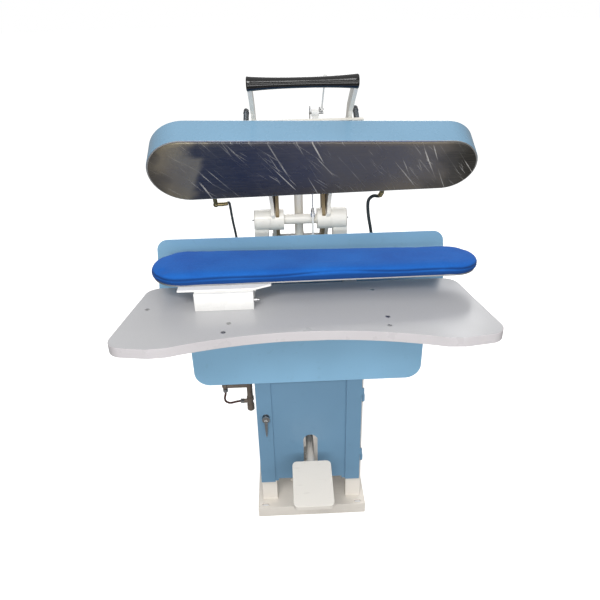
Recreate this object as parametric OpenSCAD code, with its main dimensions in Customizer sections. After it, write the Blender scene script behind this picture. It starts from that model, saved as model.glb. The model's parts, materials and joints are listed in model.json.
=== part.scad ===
// Pedal-operated steam utility press: a pedestal with a padded buck on a worktable,
// and a hinged, steam-heated head that a pedal and a handle bring down onto the buck.
// Origin: centre of the base's underside. +X right, +Y to the rear, +Z up.
// The rest position is the head open; head pieces are drawn closed and then turned open.

/* [Base and cabinet] */
// Width of the base
base_w = 400; // [380:5:440]
// Depth of the base
base_d = 600; // [580:10:700]
// Height of the base
base_h = 45; // [35:1:50]
// Outer width of the cabinet posts
cabinet_w = 366; // [356:2:372]
// Height of the worktable's upper face
table_z = 918; // [900:1:940]
// Thickness of the worktable
table_t = 29; // [22:1:32]

/* [Buck] */
// Height of the padded pressing surface
buck_z = 1018; // [1010:1:1022]
// End radius of the padded buck at its wide left end
buck_r_left = 112; // [104:1:116]
// End radius of the padded buck at its narrow right end
buck_r_right = 91; // [84:1:96]

/* [Head] */
// Height of the head pivot's axis
pivot_z = 1053; // [1048:1:1058]
// Opening angle of the head
open_deg = 61; // [54:1:64]
// End radius of the head at its wide left end
head_r_left = 121; // [112:1:122]
// End radius of the head at its narrow right end
head_r_right = 98; // [90:1:100]
// Height of the head's cover
head_h = 91; // [84:1:94]

/* [Handle and pedal] */
// Length of the handle grip
grip_len = 310; // [280:2:320]
// Width of the foot pedal
pedal_w = 135; // [110:1:140]
// Angle that the pedal turns through
pedal_deg = 31.8; // [28:0.2:32]

/* [Hidden] */
$fn = 64;

// Running clearance between a pin or shaft and its bore, on the radius
run = 0.05;

base_front = -270;
post_front = -229;
post_w = 55;
post_d = 40;
sheet = 2;
column_side = 48;
yoke_x = -8;
pivot_y = 74;
housing_r = 36;
housing_len = 56;
housing_in = 103;
shaft_r = 17.5;
column_x = 135.5;
beam_x = 150;
column_top = pivot_z - housing_r - 1;

door_x0 = -183;
door_x1 = 177;
door_z0 = 150;
door_z1 = 597;
door_y = post_front - 0.5;
door_t = 17;
slot_w = 50;
slot_top = 362;

table_x = -14;
table_rear = -157;
table_front = -518;
table_half_rear = 486;
table_half_front = 545;
table_scoop_r = 1232;
table_scoop_y = -459;

neck_x0 = -335;
neck_x1 = -162;
neck_front = -322;
neck_h = 56;
chest_z0 = 980;
chest_h = 23;
underpad_h = 8;

head_z0 = 1020;
platen_t = 13;
lip_t = 4;
cover_z0 = head_z0 + 6;
cover_z1 = cover_z0 + head_h;
stud_x = 170;
stud_y = [-258, -112];
stud_r = 5.5;
crossbar_z = cover_z1 + 16;
crossbar_t = 10;
crossbar_w = 34;
spring_h = 55;
dome_z = crossbar_z + crossbar_t + spring_h;

arm_t = 12;
grip_y = -436;
grip_z = 1096;
grip_x = 0;
tail_y = 136;
tail_z = 39;

pedal_y = -80;
pedal_z = 255;
pedal_shaft_r = 12.5;
pedal_arm_r = 14;
pedal_tip = -342;
lever_b = 254;
lever_pin = [pedal_y + lever_b * cos(pedal_deg / 2), pedal_z - lever_b * sin(pedal_deg / 2)];

// ---------- helpers ----------

// Turns what is drawn in the head's closed position into the open position
module opened() {
    translate([0, pivot_y, pivot_z]) rotate([-open_deg, 0, 0])
        translate([0, -pivot_y, -pivot_z]) children();
}

// Point [y, z] of the head's closed position, turned into the open position
function open_yz(y, z) = [
    pivot_y + (y - pivot_y) * cos(open_deg) + (z - pivot_z) * sin(open_deg),
    pivot_z - (y - pivot_y) * sin(open_deg) + (z - pivot_z) * cos(open_deg)
];

// Outline round two circles of different radius, along their common tangents
module egg(a, ra, b, rb, steps = 48) {
    turn = atan2(b[1] - a[1], b[0] - a[0]);
    lean = acos((ra - rb) / norm(b - a));
    polygon(concat(
        [for (i = [0:steps]) let (t = turn + lean + i * (360 - 2 * lean) / steps)
            a + ra * [cos(t), sin(t)]],
        [for (i = [0:steps]) let (t = turn - lean + i * 2 * lean / steps)
            b + rb * [cos(t), sin(t)]]
    ));
}

// The head's plan outline, drawn in by inset
module head_outline(inset = 0) {
    egg([-354, -186], head_r_left - inset, [436, -180], head_r_right - inset);
}

// The buck's plan outline, drawn in by inset
module buck_outline(inset = 0) {
    egg([-373, -183], buck_r_left - inset, [442, -194], buck_r_right - inset);
}

module rod_x(x0, x1, r) {
    translate([x0, 0, 0]) rotate([0, 90, 0]) cylinder(h = x1 - x0, r = r);
}

module rod_y(y0, y1, r) {
    translate([0, y1, 0]) rotate([90, 0, 0]) cylinder(h = y1 - y0, r = r);
}

// Extrudes a [y, z] outline from x0 to x1
module plate_yz(x0, x1) {
    translate([x0, 0, 0]) rotate([90, 0, 90]) linear_extrude(x1 - x0) children();
}

// Extrudes an [x, z] outline from y0 to y1
module plate_xz(y0, y1) {
    translate([0, y1, 0]) rotate([90, 0, 0]) linear_extrude(y1 - y0) children();
}

// Coils of a spring as one revolved, scalloped ring stack
module coil(r, wire, turns, h) {
    pitch = (h - wire) / (turns - 1);
    rotate_extrude() union() {
        translate([r - wire * 0.15, wire / 4]) square([wire * 0.3, h - wire / 2]);
        for (i = [0:turns - 1]) translate([r, wire / 2 + i * pitch]) circle(d = wire, $fn = 24);
    }
}

function unit(v) = v / norm(v);

// A closed tube that follows a list of points
module tube_along(p, r, sides = 10) {
    n = len(p);
    ref = [0.31, 0.12, 0.94];
    ring = [for (i = [0:n - 1])
        let (t = unit(p[min(i + 1, n - 1)] - p[max(i - 1, 0)]),
            u = unit(cross(t, abs(t * ref) > 0.95 ? [1, 0, 0] : ref)),
            w = cross(t, u))
        for (k = [0:sides - 1]) p[i] + r * (cos(360 * k / sides) * u + sin(360 * k / sides) * w)];
    walls = [for (i = [0:n - 2]) for (k = [0:sides - 1]) let (m = (k + 1) % sides)
        [i * sides + k, i * sides + m, (i + 1) * sides + m, (i + 1) * sides + k]];
    polyhedron(ring, concat([[for (k = [sides - 1:-1:0]) k]], walls,
        [[for (k = [0:sides - 1]) (n - 1) * sides + k]]));
}

// Smooth points between chosen route points
function spline_at(a, b, c, d, t) = 0.5 * ((2 * b) + (c - a) * t
    + (2 * a - 5 * b + 4 * c - d) * t * t + (3 * b - a - 3 * c + d) * t * t * t);
function smooth(p, m = 2) = [for (i = [0:len(p) - 2]) for (k = [0:m - 1])
    spline_at(p[max(i - 1, 0)], p[i], p[i + 1], p[min(i + 2, len(p) - 1)], k / m),
    p[len(p) - 1]];

// ---------- frame ----------

module base_frame() {
    color("antiquewhite") translate([0, base_front, 0]) difference() {
        translate([-base_w / 2, 0, 0]) cube([base_w, base_d, base_h]);
        // hollow underside in four bays, left by the rim and the cross ribs
        for (sx = [-1, 1], sy = [0, 1])
            translate([sx > 0 ? 5 : 8 - base_w / 2, sy > 0 ? -base_front + 5 : 8, -1])
                cube([base_w / 2 - 13, sy > 0 ? base_d + base_front - 13 : -base_front - 13,
                    base_h - 5]);
        // slotted anchor holes at the corners
        for (x = [-173, 173], y = [15, base_d - 15]) translate([x, y, -1])
            for (s = [-6, 6]) translate([s, 0, 0]) cylinder(h = base_h + 2, r = 6, $fn = 32);
        for (x = [-173, 173], y = [15, base_d - 15])
            translate([x - 6, y - 6, -1]) cube([12, 12, base_h + 2]);
    }
}

module front_posts() {
    color("antiquewhite") for (s = [-1, 1])
        translate([s * (cabinet_w / 2 - post_w / 2) + 1, post_front + post_d / 2, base_h])
            difference() {
                translate([-post_w / 2, -post_d / 2, 0]) cube([post_w, post_d, 806]);
                translate([-post_w / 2 + 3, -post_d / 2 + 3, -1]) cube([post_w - 6, post_d, 808]);
            }
}

module main_columns() {
    color("antiquewhite") for (s = [-1, 1])
        translate([yoke_x + s * column_x, pivot_y, base_h]) difference() {
            translate([-column_side / 2, -column_side / 2, 0])
                cube([column_side, column_side, column_top - base_h]);
            translate([-column_side / 2 + 4, -column_side / 2 + 4, -1])
                cube([column_side - 8, column_side - 8, column_top - base_h + 2]);
        }
}

// Side panels and a back panel with an opening for the lever
module cabinet_panels() {
    panel_y = post_front + post_d;
    back_y = pivot_y + column_side / 2;
    color("steelblue") for (x = [1 - cabinet_w / 2, cabinet_w / 2 + 1 - sheet])
        translate([x, panel_y, door_z0]) cube([sheet, back_y + sheet - panel_y, 660]);
    color("steelblue") translate([1 - cabinet_w / 2 + sheet, back_y, 150]) difference() {
        cube([cabinet_w - 2 * sheet, sheet, 470]);
        translate([cabinet_w / 2 - sheet - 1 + yoke_x - 40, -1, 10]) cube([80, sheet + 2, 200]);
    }
}

module bearing_housings() {
    color("ivory") for (s = [-1, 1]) translate([yoke_x, pivot_y, pivot_z]) difference() {
        union() {
            rod_x(s > 0 ? housing_in : -housing_in - housing_len + 4,
                s > 0 ? housing_in + housing_len - 4 : -housing_in, housing_r);
            translate([s > 0 ? housing_in + housing_len - 4 : -housing_in - housing_len + 4, 0, 0])
                rotate([0, s * 90, 0]) cylinder(h = 4, r1 = housing_r, r2 = housing_r - 4);
            translate([s * column_x - column_side / 2, -column_side / 2, -housing_r - 1])
                cube([column_side, column_side, housing_r - 2]);
        }
        rod_x(-200, 200, shaft_r + 4);
    }
}

module bearing_bushes() {
    color("goldenrod") for (s = [-1, 1]) translate([yoke_x, pivot_y, pivot_z]) difference() {
        rod_x(s > 0 ? housing_in : -housing_in - housing_len, s > 0 ? housing_in + housing_len
            : -housing_in, shaft_r + 4);
        rod_x(-200, 200, shaft_r + run);
    }
}

// One nipple in each end of the pivot shaft
module grease_nipples() {
    color("silver") for (s = [-1, 1])
        translate([yoke_x + s * (housing_in + housing_len - 2), pivot_y, pivot_z])
            rotate([0, s * 90, 0]) {
                cylinder(h = 4, r = 4, $fn = 6);
                translate([0, 0, 4]) cylinder(h = 4, r = 2, $fn = 24);
                translate([0, 0, 7.5]) sphere(r = 2.6, $fn = 24);
            }
}

// Downward-open channels that carry the worktable
module table_frame() {
    h = 38;
    wall = 3;
    front = -400;
    beam_len = pivot_y - column_side / 2 - front;
    translate([0, 0, table_z - table_t - h]) color("antiquewhite") difference() {
        union() {
            for (x = [-beam_x, beam_x]) translate([x - 20, front, 0]) cube([40, beam_len, h]);
            for (y = [front, -246]) translate([table_x - 410, y, 0]) cube([820, 36, h]);
        }
        for (x = [-beam_x, beam_x]) translate([x - 20 + wall, front + wall, -1])
            cube([40 - 2 * wall, beam_len - 2 * wall, h - wall + 1]);
        for (y = [front, -246]) translate([table_x - 410 + wall, y + wall, -1])
            cube([820 - 2 * wall, 36 - 2 * wall, h - wall + 1]);
    }
}

// Worktable outline: straight tapering sides, two front lobes and a shallow scoop between
module table_outline(inset = 0) {
    offset(delta = -inset) offset(r = 46) offset(delta = -46) offset(r = -70) offset(delta = 70)
        difference() {
            polygon([
                [table_x - table_half_rear, table_rear], [table_x + table_half_rear, table_rear],
                [table_x + table_half_front, table_front + 16],
                [table_x + table_half_front - 120, table_front - 3],
                [table_x + 350, table_front + 2], [table_x - 350, table_front + 2],
                [table_x - table_half_front + 120, table_front - 3],
                [table_x - table_half_front, table_front + 16]
            ]);
            translate([table_x, table_scoop_y - table_scoop_r]) circle(r = table_scoop_r, $fn = 180);
        }
}

table_screw_at = [[-480, -298], [-231, -398], [-243, -446], [202, -220], [220, -392],
    [216, -442]];

module table_board() {
    color("lightgray") translate([0, 0, table_z - table_t]) difference() {
        linear_extrude(table_t) table_outline(2.5);
        for (p = table_screw_at) translate([p[0], p[1], -1]) cylinder(h = table_t + 2, r = 3.6,
            $fn = 24);
        for (p = table_screw_at) translate([p[0], p[1], table_t - 5]) cylinder(h = 6, r = 7.1,
            $fn = 24);
        for (x = buck_pipe_x) translate([x, buck_pipe_y, -1])
            cylinder(h = table_t + 2, r = 12);
    }
}

module table_edge_band() {
    color("white") translate([0, 0, table_z - table_t]) linear_extrude(table_t) difference() {
        table_outline(0);
        table_outline(2.5);
    }
}

module table_screws() {
    color("dimgray") for (p = table_screw_at) translate([p[0], p[1], table_z - 5])
        difference() {
            union() {
                cylinder(h = 4.2, r = 7, $fn = 24);
                translate([0, 0, -table_t + 5]) cylinder(h = table_t - 5, r = 3.5, $fn = 24);
            }
            translate([-5, -0.8, 2.6]) cube([10, 1.6, 3]);
        }
}

module apron() {
    r = 50;
    color("steelblue") plate_xz(-252, -249.5) translate([-4, 0]) union() {
        translate([-372, 600 + r]) square([744, 200]);
        translate([-372 + r, 600]) square([744 - 2 * r, r + 1]);
        for (s = [-1, 1]) translate([s * (372 - r), 600 + r]) circle(r = r);
    }
}

module rear_shield() {
    r = 38;
    color("steelblue") difference() {
        union() {
            plate_xz(-43, -41) union() {
                polygon([[-503, 812], [481, 812], [463, 1037 - r], [-486, 1037 - r]]);
                translate([-486 + r, 1037 - r - 1]) square([949 - 2 * r, r + 1]);
                translate([-486 + r, 1037 - r]) circle(r = r);
                translate([463 - r, 1037 - r]) circle(r = r);
            }
            translate([-503, -43, 812]) cube([984, 18, 2]);
        }
        for (x = [-beam_x, beam_x]) translate([x - 22, -50, 800]) cube([44, 40, 92]);
    }
}

// Small brackets of the frame: apron, rear shield, hose sockets, riser and link strip
module panel_brackets() {
    column_in = column_x - column_side / 2;
    beam_top = table_z - table_t;
    color("antiquewhite") {
        for (x = [-beam_x, beam_x], z = [660, 800]) translate([x - 18, -249.5, z])
            cube([36, post_front + 249.5, 30]);
        for (x = [-beam_x, beam_x]) translate([x - 15, -41, beam_top]) {
            cube([30, 36, 4]);
            cube([30, 4, 60]);
        }
        for (s = [-1, 1]) translate([s > 0 ? yoke_x + column_x + column_side / 2 : -250, 60, 888])
            cube([s > 0 ? 114 : yoke_x - column_x - column_side / 2 + 250, 20, 4]);
        difference() {
            translate([yoke_x - column_in - 20, riser_y - 24, 800])
                cube([2 * column_in + 40, 12, 36]);
            translate([-12, riser_y, 790]) cylinder(h = 60, r = 15);
        }
        // slotted guide of the link strip
        difference() {
            translate([link_x - 14, link_pin[0] - 19, 775])
                cube([yoke_x + column_in - link_x + 14, 32, 6]);
            translate([link_x - 3.8, link_pin[0] - 15.5, 770]) cube([7.6, 23.5, 16]);
        }
    }
}

// ---------- buck ----------

module buck_neck() {
    z0 = table_z;
    color("white") difference() {
        translate([neck_x0, neck_front, z0]) cube([neck_x1 - neck_x0, 200, neck_h]);
        translate([neck_x0 + 5, neck_front + 5, z0 - 1])
            cube([neck_x1 - neck_x0 - 10, 190, neck_h - 4]);
        for (x = buck_pipe_x) translate([x, buck_pipe_y, z0]) cylinder(h = 60, r = 12);
    }
}

module buck_flange() {
    color("white") translate([0, 0, table_z + neck_h]) difference() {
        linear_extrude(6) polygon([[-384, -306], [neck_x1 + 4, -306], [-110, -283],
            [-110, -150], [-384, -150]]);
        for (x = buck_pipe_x) translate([x, buck_pipe_y, -1]) cylinder(h = 8, r = 12);
    }
    color("white") translate([neck_x1 + 1, -283, table_z + 40]) cube([5, 100, 16]);
}

module buck_chest() {
    color("silver") difference() {
        translate([0, 0, chest_z0]) linear_extrude(chest_h) buck_outline(14);
        translate([0, 0, chest_z0 - 1]) linear_extrude(chest_h - 6) difference() {
            buck_outline(24);
            translate([-384, -306]) square([280, 200]);
        }
    }
}

module buck_underpad() {
    color("wheat") translate([0, 0, chest_z0 + chest_h]) linear_extrude(underpad_h)
        buck_outline(14);
}

module buck_pad() {
    skin_z = 984;
    edge = 8;
    top = chest_z0 + chest_h + underpad_h + 0.4;
    color("royalblue") difference() {
        union() {
            translate([0, 0, skin_z + 4]) linear_extrude(buck_z - skin_z - 4 - edge)
                buck_outline(1);
            translate([0, 0, skin_z]) linear_extrude(4) buck_outline(4);
            translate([0, 0, buck_z - edge - 0.01]) linear_extrude(edge - 3) buck_outline(4);
            translate([0, 0, buck_z - 4]) linear_extrude(4) buck_outline(9);
        }
        translate([0, 0, skin_z - 1]) linear_extrude(top - skin_z + 1) buck_outline(13.6);
    }
}

// ---------- steam pipework ----------

pipe_r = 10.65;
pipe_x = -217;
pipe_y = -60;
pipe_z = 456;

header_z = 700;
riser_y = 122;
buck_pipe_y = -200;
buck_pipe_x = [pipe_x, pipe_x - 63];

module steam_riser() {
    color("white") translate([-12, riser_y, header_z]) {
        translate([0, 0, -20]) cylinder(h = 490, r = 15);
        translate([0, 0, 470]) cylinder(h = 8, r = 17);
        rod_x(pipe_x + 12 + pipe_r, 0, 8);
    }
}

module drip_leg() {
    color("rosybrown") translate([pipe_x, pipe_y, 0]) {
        translate([0, 0, 370]) cylinder(h = header_z - 370 - pipe_r, r = pipe_r);
        translate([0, 0, pipe_z]) rod_x(-90, 0, 9);
        translate([-90, 0, pipe_z]) sphere(r = 12);
        translate([0, 0, 384]) rod_x(-24, 0, 8);
        translate([0, 0, 390]) cylinder(h = 12, r = 13.5);
        translate([0, 0, 346]) cylinder(h = 24, r = 13.5);
        translate([0, 0, 340]) cylinder(h = 6, r = 8, $fn = 6);
        // return from the buck, and outlet to the rear
        translate([0, 0, 640]) rod_y(buck_pipe_y - pipe_y, 0, 8);
        translate([0, buck_pipe_y - pipe_y, 640]) rod_x(-63, 0, 8);
        translate([-63, buck_pipe_y - pipe_y, 632]) cylinder(h = chest_z0 - 632, r = 8);
        translate([0, 0, 610]) rod_y(0, 320, pipe_r);
        translate([0, 0, 610]) rod_y(262, 278, 15);
    }
}

module steam_inlet_pipe() {
    color("rosybrown") translate([pipe_x, pipe_y, header_z]) {
        rod_y(buck_pipe_y - pipe_y, 320, pipe_r);
        rod_y(262, 278, 15);
        translate([0, buck_pipe_y - pipe_y, -pipe_r]) cylinder(h = chest_z0 - header_z + pipe_r,
            r = 9);
    }
}

module steam_fittings() {
    // bleed screw on the buck's neck
    color("silver") translate([neck_x1, neck_front + 20, table_z + 22]) {
        rod_x(0, 8, 6);
        rod_x(8, 16, 3.5);
    }
    // nuts of the trap hose
    color("silver") translate([pipe_x, pipe_y, 0]) {
        translate([-90, 0, pipe_z - 26]) cylinder(h = 14, r = 9, $fn = 6);
        translate([0, 0, 384]) rotate([0, -90, 0]) translate([0, 0, 24])
            cylinder(h = 12, r = 9.5, $fn = 6);
    }
    // sockets of the head's hoses
    color("goldenrod") translate([-228, 70, 892]) cylinder(h = 23, r = 9);
    color("goldenrod") translate([245, 70, 892]) cylinder(h = 23, r = 10);
}

// Route of the trap hose, from the upper fitting round to the tee branch
trap_route = [
    [-307, -60, 430], [-308, -61, 420], [-311, -62, 408], [-312, -63, 396],
    [-308, -63, 386], [-298, -62, 379], [-286, -61, 378], [-272, -60, 381], [-253, -60, 384]
];

module trap_hose() {
    color("brown") tube_along(smooth(trap_route, 3), 4);
}

// ---------- pedal support ----------

module pedal_brackets() {
    color("antiquewhite") for (s = [-1, 1]) {
        difference() {
            plate_yz(s > 0 ? 40 : -48, s > 0 ? 48 : -40) union() {
                polygon([[pedal_y - 60, base_h], [pedal_y + 60, base_h], [pedal_y + 24, pedal_z],
                    [pedal_y - 24, pedal_z]]);
                translate([pedal_y, pedal_z]) circle(r = 24);
            }
            translate([0, pedal_y, pedal_z]) rod_x(-60, 60, pedal_shaft_r);
        }
        translate([s > 0 ? 48 : -78, pedal_y - 60, base_h]) cube([30, 120, 6]);
    }
}

module pedal_shaft() {
    color("silver") translate([0, pedal_y, pedal_z]) {
        rod_x(-50, 50, pedal_shaft_r);
        rod_x(-54, -48, 17);
        rod_x(48, 54, 17);
    }
}

spring_x = -7;
spring_y = -188;
spring_top = pedal_z - pedal_arm_r - 6;

module return_spring() {
    color("antiquewhite") translate([spring_x, spring_y, base_h])
        coil(19, 6, 14, spring_top - base_h);
}

// ---------- door hinges on the frame ----------

hinge_x = door_x1 + 4.5;
knuckle_r = 3.5;
hinge_y = door_y - door_t + 3;
hinge_z = [240, 505];

module hinge_leaves() {
    color("steelblue") for (z = hinge_z) difference() {
        union() {
            translate([hinge_x, hinge_y, z]) cylinder(h = 25, r = knuckle_r);
            translate([cabinet_w / 2 + 1, hinge_y - 2, z]) cube([3, 32, 25]);
            translate([hinge_x, hinge_y - 2, z]) cube([4, 4, 25]);
        }
        translate([hinge_x, hinge_y, z - 1]) cylinder(h = 80, r = 2 + run);
    }
}

module hinge_pins() {
    color("silver") for (z = hinge_z) translate([hinge_x, hinge_y, z]) {
        cylinder(h = 55, r = 2);
        translate([0, 0, -1.5]) cylinder(h = 1.5, r = knuckle_r);
    }
}

// ---------- head ----------

module head_platen() {
    color("dimgray") opened() difference() {
        translate([0, 0, head_z0]) linear_extrude(platen_t) head_outline(6);
        for (x = [-300:60:380]) translate([x, -185, head_z0 + 5]) cylinder(h = 10, r = 12);
    }
}

module head_lip() {
    color("silver") opened() translate([0, 0, head_z0 + 4]) linear_extrude(lip_t) difference() {
        head_outline(1);
        head_outline(5.9);
    }
}

module head_chest() {
    z = head_z0 + platen_t;
    color("gray") opened() difference() {
        translate([0, 0, z]) linear_extrude(38) head_outline(14);
        translate([0, 0, z - 1]) linear_extrude(30) head_outline(24);
        for (x = [-290, 262]) translate([x, -71, z + 24]) rod_y(-60, 60, 7);
    }
    color("gray") opened() for (x = [-stud_x, stud_x], y = stud_y) translate([x, y, z + 29])
        cylinder(h = 9, r = 15);
}

module head_insulation() {
    z = head_z0 + platen_t + 38;
    color("khaki") opened() difference() {
        translate([0, 0, z]) linear_extrude(20) head_outline(14);
        for (x = [-stud_x, stud_x], y = stud_y) translate([x, y, z - 1])
            cylinder(h = 30, r = stud_r + 0.5);
    }
}

module head_cover() {
    color("steelblue") opened() difference() {
        translate([0, 0, cover_z0 + 2]) linear_extrude(head_h - 2) head_outline(0);
        translate([0, 0, cover_z0]) linear_extrude(head_h - 3) head_outline(3);
        for (x = [-stud_x, stud_x], y = stud_y) translate([x, y, cover_z1 - 10])
            cylinder(h = 20, r = stud_r + 1);
        for (x = [-290, 262]) translate([x, -71, cover_z0 + 31]) rod_y(-40, 40, 11);
    }
}

module head_studs() {
    color("silver") opened() for (x = [-stud_x, stud_x], y = stud_y)
        translate([x, y, head_z0 + platen_t + 38])
            cylinder(h = dome_z + 12 - head_z0 - platen_t - 38, r = stud_r);
}

module stud_sleeves() {
    color("silver") opened() for (x = [-stud_x, stud_x], y = stud_y)
        translate([x, y, cover_z1]) difference() {
            cylinder(h = crossbar_z - cover_z1, r = 12, $fn = 6);
            translate([0, 0, -1]) cylinder(h = 60, r = stud_r + 0.2);
        }
}

module stud_springs() {
    color("slategray") opened() for (x = [-stud_x, stud_x], y = stud_y)
        translate([x, y, crossbar_z + crossbar_t]) coil(7.3, 2.6, 10, spring_h);
}

module dome_nuts() {
    color("darkslategray") opened() for (x = [-stud_x, stud_x], y = stud_y)
        translate([x, y, dome_z]) difference() {
            union() {
                cylinder(h = 2, r = 9.4);
                translate([0, 0, 2]) cylinder(h = 10, r = 8.4);
                translate([0, 0, 12]) intersection() {
                    sphere(r = 8.4);
                    cylinder(h = 12, r = 9);
                }
            }
            translate([0, 0, -1]) cylinder(h = 14, r = stud_r);
        }
}

module yoke_crossbars() {
    color("ivory") opened() difference() {
        for (y = stud_y) translate([-188, y - crossbar_w / 2, crossbar_z])
            cube([376, crossbar_w, crossbar_t]);
        for (x = [-stud_x, stud_x], y = stud_y) translate([x, y, crossbar_z - 1])
            cylinder(h = 20, r = stud_r + 0.5);
    }
}

// Side outline of a yoke arm in the closed position: tail, hub, over the head, to the handle
module arm_outline() {
    z = crossbar_z + crossbar_t;
    polygon([
        [pivot_y + 22, pivot_z - 28], [pivot_y + 46, pivot_z - 8], [pivot_y + 34, pivot_z + 42],
        [pivot_y - 60, z + 58], [-140, z + 64], [-290, z + 50],
        [grip_y - 4, grip_z + 20], [grip_y - 4, grip_z - 14], [grip_y + 14, grip_z - 14],
        [-300, z], [pivot_y - 120, z], [pivot_y - 56, pivot_z + 12],
        [pivot_y - 44, pivot_z - 20]
    ]);
    tail_outline();
}

// Side outline of the rearward part of an arm, from the hub to the tail pin
module tail_outline() {
    lean = atan2(tail_z, tail_y);
    difference() {
        union() {
            translate([pivot_y, pivot_z]) rotate(lean) translate([0, -26])
                square([norm([tail_y, tail_z]), 46]);
            translate([pivot_y + tail_y, pivot_z + tail_z]) circle(r = 20);
        }
        translate([pivot_y + tail_y, pivot_z + tail_z]) circle(r = 9.5);
    }
}

arm_hub_x = 91;
arm_grip_x = 147;
arm_bend_rear = 50;
arm_bend_front = -236;

// Lean of the left (-1) or right (1) arm's middle part, outwards towards the handle
function arm_lean(s) = atan((s * arm_grip_x - yoke_x - s * arm_hub_x)
    / (arm_bend_rear - arm_bend_front));

// The arm's plate between two depths, leaning about a point
module arm_part(x, y, lean, y0, y1) {
    translate([x, y, 0]) rotate([0, 0, lean]) translate([0, -y, 0])
        plate_yz(-arm_t / 2, arm_t / 2) intersection() {
            arm_outline();
            translate([y0, 900]) square([y1 - y0, 400]);
        }
}

module yoke_arm(s) {
    difference() {
        union() {
            arm_part(yoke_x + s * arm_hub_x, arm_bend_rear, 0, arm_bend_rear - 0.6, 260);
            arm_part(yoke_x + s * arm_hub_x, arm_bend_rear, arm_lean(s),
                arm_bend_front - 6, arm_bend_rear);
            arm_part(s * arm_grip_x, arm_bend_front, 0, -460, arm_bend_front + 0.6);
            translate([yoke_x, pivot_y, pivot_z]) rod_x(s > 0 ? 57 : -housing_in + 0.5,
                s > 0 ? housing_in - 0.5 : -57, housing_r);
        }
        translate([0, pivot_y, pivot_z]) rod_x(-200, 200, shaft_r);
    }
}

module left_arm() {
    color("ivory") opened() yoke_arm(-1);
}

module right_arm() {
    color("ivory") opened() yoke_arm(1);
}

// Stiffening plates on the arms' inner sides, from the rear crossbar to the tail pin
module tail_levers() {
    z = crossbar_z + crossbar_t;
    color("tan") opened() difference() {
        for (s = [-1, 1]) plate_yz(yoke_x + (s > 0 ? 73 : -84.9), yoke_x + (s > 0 ? 84.9 : -73)) {
            polygon([[pivot_y + 22, pivot_z - 24], [pivot_y + 42, pivot_z - 8],
                [pivot_y + 30, pivot_z + 38], [pivot_y - 60, z + 54], [-124, z + 54], [-124, z],
                [pivot_y - 120, z], [pivot_y - 52, pivot_z + 12], [pivot_y - 40, pivot_z - 18]]);
            tail_outline();
        }
        // seat on the arms' hubs
        translate([0, pivot_y, pivot_z]) rod_x(-200, 200, housing_r);
    }
}

module pivot_shaft() {
    color("ivory") translate([yoke_x, pivot_y, pivot_z])
        rod_x(-housing_in - housing_len + 2, housing_in + housing_len - 2, shaft_r);
}

module tail_pin() {
    color("silver") opened() translate([yoke_x, pivot_y + tail_y, pivot_z + tail_z]) {
        rod_x(-98, 98, 9.5);
        rod_x(-102, -98, 13);
        rod_x(98, 102, 13);
    }
}

module handle_grip() {
    half = grip_len / 2;
    waist = 14.5;
    rim = 20;
    profile = [for (i = [-10:10]) [waist + (rim - waist) * pow(abs(i) / 10, 2.4), i * half / 10]];
    color("black") opened() difference() {
        union() {
            translate([grip_x, grip_y, grip_z]) rotate([0, 90, 0]) rotate_extrude()
                polygon(concat([[0, -half]], profile, [[0, half]]));
            // eye behind the grip that guides the pull rod's end
            pull_rod_place() {
                rod_y(2 - pull_reach, 10 - pull_reach, 5);
                translate([0, 6 - pull_reach, -14]) cylinder(h = 11, r = 2.5);
            }
        }
        pull_rod_place() rod_y(-pull_reach, 20 - pull_reach, pull_rod_r + run);
        for (s = [-1, 1]) translate([s * arm_grip_x - arm_t / 2, grip_y - 5, grip_z - 15])
            cube([arm_t, 70, 60]);
    }
}

// Steam ports at the head's rear wall, with elbows for the hoses
port_y = -6;
port_z = cover_z0 + 31;

module head_ports() {
    color("goldenrod") opened() {
        translate([-290, 0, port_z]) rod_y(-90, port_y, 7);
        translate([-290, port_y, port_z]) sphere(r = 9);
        translate([-290, port_y, port_z]) rod_x(0, 22, 6.5);
        translate([262, 0, port_z]) rod_y(-104, port_y - 34, 7);
    }
}

// Hose routes in the open position, from the head's port down to the frame
left_port = open_yz(port_y, port_z);
right_port = open_yz(port_y - 34, port_z);
left_route = [
    [-268, left_port[0], left_port[1]], [-258, left_port[0], left_port[1] + 1],
    [-248, 59, 1124], [-245, 62, 1105], [-243, 64, 1080], [-240, 66, 1050],
    [-236, 68, 1020], [-232, 69, 985], [-229, 70, 950], [-228, 70, 915.6]
];
right_route = [
    [262, right_port[0], right_port[1]], [256, right_port[0] + 9, right_port[1] - 16],
    [240, 56, 1132], [227, 62, 1120], [223, 64, 1105], [224, 66, 1080],
    [228, 67, 1050], [234, 68, 1020], [240, 69, 985], [244, 70, 950], [245, 70, 915.6]
];

module head_hose_left() {
    color("darkslategray") tube_along(smooth(left_route, 2), 4.2);
}

module head_hose_right() {
    color("darkslategray") tube_along(smooth(right_route, 2), 5.5);
}

// ---------- steam valve on the head ----------

valve_x = 43;
valve_y = -278;
valve_z = crossbar_z + crossbar_t + 24;
crank = 14;
wing_deg = 30;
pull_end = [grip_y - 4, grip_z + 20.5];
rod_lean = atan2(valve_z + crank - pull_end[1], valve_y - pull_end[0]);
crank_at = 90 + rod_lean - wing_deg / 2;
pull_pin = [valve_y + crank * cos(crank_at), valve_z + crank * sin(crank_at)];
pull_reach = norm(pull_pin - pull_end);
pull_rod_r = 2.4;

// Puts what is drawn along -Y at the pull rod's pin, along the rod's line
module pull_rod_place() {
    translate([valve_x + 20, pull_pin[0], pull_pin[1]]) rotate([rod_lean, 0, 0]) children();
}

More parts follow.
